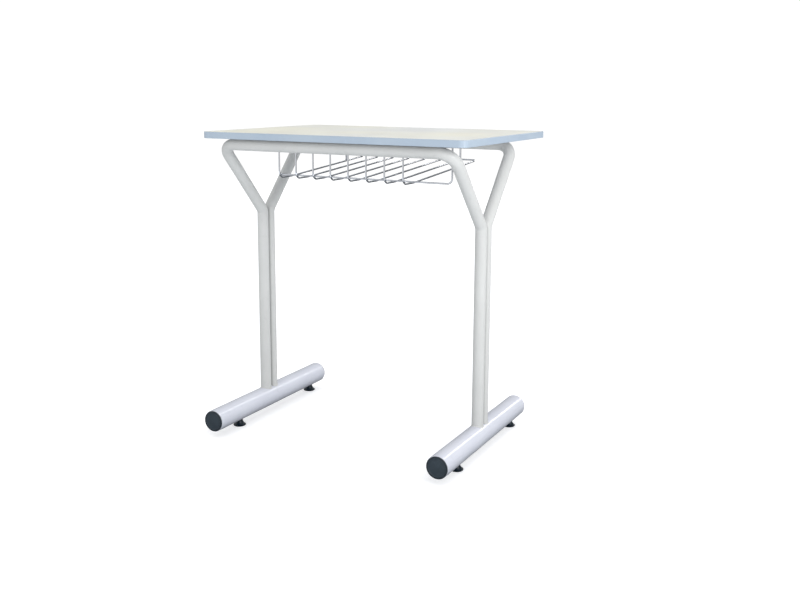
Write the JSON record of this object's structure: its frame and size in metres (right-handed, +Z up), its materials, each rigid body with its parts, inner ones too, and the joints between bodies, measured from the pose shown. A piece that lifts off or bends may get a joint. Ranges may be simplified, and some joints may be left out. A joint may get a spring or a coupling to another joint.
{
  "type": "school desk",
  "caption": "Single pupil's desk: a laminate top on two bent tube hoops that form Y legs on round tube feet with levelling glides, and a chromed wire book basket under the top.",
  "frame": {"origin": "on the floor, under the middle of the desk's outline", "axes": "+Z up, +X along the top's long side, +Y towards the pupil"},
  "size_m": [0.7, 0.5366, 0.76],
  "materials": {
    "board_core": "raw particle board",
    "cream_laminate": "fine matt pressed laminate",
    "backing_laminate": "matt",
    "blue_edge": "satin",
    "grey_powder_coat": "satin powder coat",
    "white_powder_coat": "gloss powder coat",
    "slate_plastic": "matt",
    "black_plastic": "satin",
    "zinc_steel": "zinc plated",
    "basket_chrome": "bright chrome"
  },
  "bodies": {
    "desk": {"back_hoop": "grey_powder_coat", "back_hoop_tabs": "grey_powder_coat", "basket_back_tabs": "basket_chrome", "basket_back_wire": "basket_chrome", "basket_cross_wire_1": "basket_chrome", "basket_cross_wire_2": "basket_chrome", "basket_cross_wire_3": "basket_chrome", "basket_cross_wire_4": "basket_chrome", "basket_cross_wire_5": "basket_chrome", "basket_cross_wire_6": "basket_chrome", "basket_cross_wire_7": "basket_chrome", "basket_cross_wire_8": "basket_chrome", "basket_front_hangers": "basket_chrome", "basket_front_wire": "basket_chrome", "basket_rim_wire": "basket_chrome", "basket_screws": "zinc_steel", "edge_band": "blue_edge", "front_hoop": "grey_powder_coat", "front_hoop_tabs": "grey_powder_coat", "left_back_cap": "slate_plastic", "left_back_glide_nut": "zinc_steel", "left_foot": "white_powder_coat", "left_front_cap": "slate_plastic", "left_front_glide_nut": "zinc_steel", "right_back_cap": "slate_plastic", "right_back_glide_nut": "zinc_steel", "right_foot": "white_powder_coat", "right_front_cap": "slate_plastic", "right_front_glide_nut": "zinc_steel", "top_core": "board_core", "top_laminate": "cream_laminate", "top_screws": "zinc_steel", "underside_laminate": "backing_laminate"},
    "left_back_glide": {"left_back_glide_base": "black_plastic", "left_back_glide_stud": "zinc_steel"},
    "left_front_glide": {"left_front_glide_base": "black_plastic", "left_front_glide_stud": "zinc_steel"},
    "right_back_glide": {"right_back_glide_base": "black_plastic", "right_back_glide_stud": "zinc_steel"},
    "right_front_glide": {"right_front_glide_base": "black_plastic", "right_front_glide_stud": "zinc_steel"}
  },
  "joints": [
    {"name": "left_back_glide_screw", "type": "slide", "parent": "desk", "child": "left_back_glide", "axis": [0, 0, -1], "range_m": [0, 0.01]},
    {"name": "left_front_glide_screw", "type": "slide", "parent": "desk", "child": "left_front_glide", "axis": [0, 0, -1], "range_m": [0, 0.01]},
    {"name": "right_back_glide_screw", "type": "slide", "parent": "desk", "child": "right_back_glide", "axis": [0, 0, -1], "range_m": [0, 0.01]},
    {"name": "right_front_glide_screw", "type": "slide", "parent": "desk", "child": "right_front_glide", "axis": [0, 0, -1], "range_m": [0, 0.01]}
  ]
}
